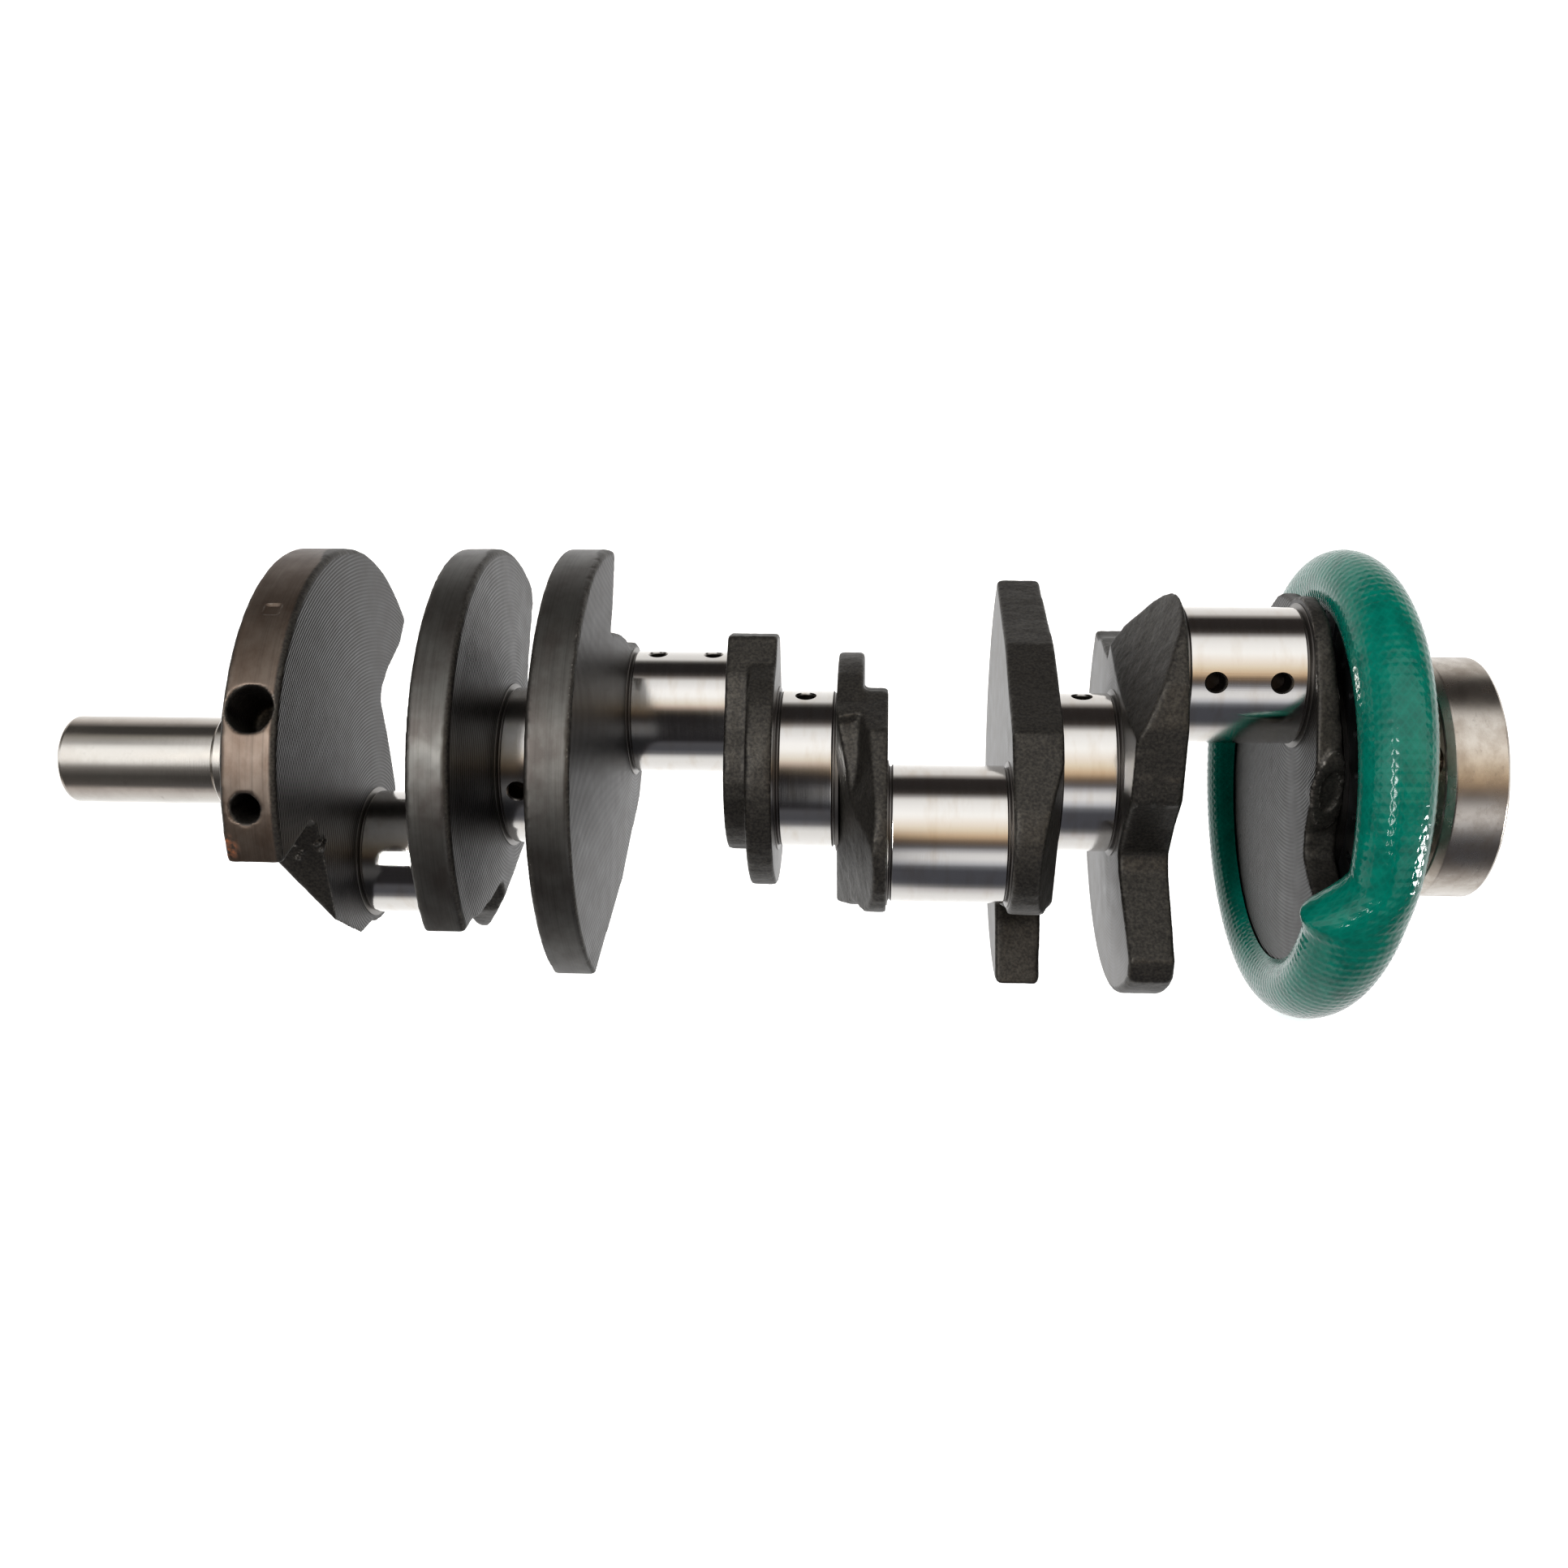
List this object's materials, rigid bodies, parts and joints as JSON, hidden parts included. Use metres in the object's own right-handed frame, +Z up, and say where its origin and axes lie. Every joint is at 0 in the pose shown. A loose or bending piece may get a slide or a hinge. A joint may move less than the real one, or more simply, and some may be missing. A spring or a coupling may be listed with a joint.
{
  "type": "crankshaft",
  "caption": "Cross-plane V-engine crankshaft with counterweighted webs, ground journals, slotted tone ring, drilled flywheel flange and a split green guard hose over the ring.",
  "frame": {"origin": "centre of the third main journal, on the main axis", "axes": "+X along the main axis from the snout to the flywheel flange, +Z up, -Y towards the viewer of the first counterweight's balance holes"},
  "size_m": [0.5797, 0.1889, 0.1886],
  "materials": {
    "ground_steel": "mirror-ground bearing journals with fine circumferential lines and a faint heat tint",
    "turned_steel": "turned and dull ground steel with brown handling stains",
    "machined_casting": "dark machined casting with turning arcs and brown oxide on the rims",
    "raw_casting": "gritty sand-cast skin, dark grey-brown, lighter on worn edges",
    "ring_steel": "dark oiled steel plate",
    "plug_steel": "pressed steel cup",
    "hose_plastic": "glossy green flexible plastic with an embossed diagonal braid"
  },
  "bodies": {
    "root": {"snout": "turned_steel", "front_seat": "turned_steel", "main_journal_1": "ground_steel", "main_journal_2": "ground_steel", "main_journal_3": "ground_steel", "main_journal_4": "ground_steel", "main_journal_5": "ground_steel", "crankpin_1": "ground_steel", "crankpin_2": "ground_steel", "crankpin_3": "ground_steel", "crankpin_4": "ground_steel", "web_1": "machined_casting", "web_2": "machined_casting", "web_3": "machined_casting", "web_4": "raw_casting", "web_5": "raw_casting", "web_6": "raw_casting", "web_7": "raw_casting", "web_8": "raw_casting", "ring_seat": "raw_casting", "tone_ring": "ring_steel", "rear_flange": "turned_steel", "gallery_plug": "plug_steel", "guard_hose": "hose_plastic"}
  },
  "joints": []
}
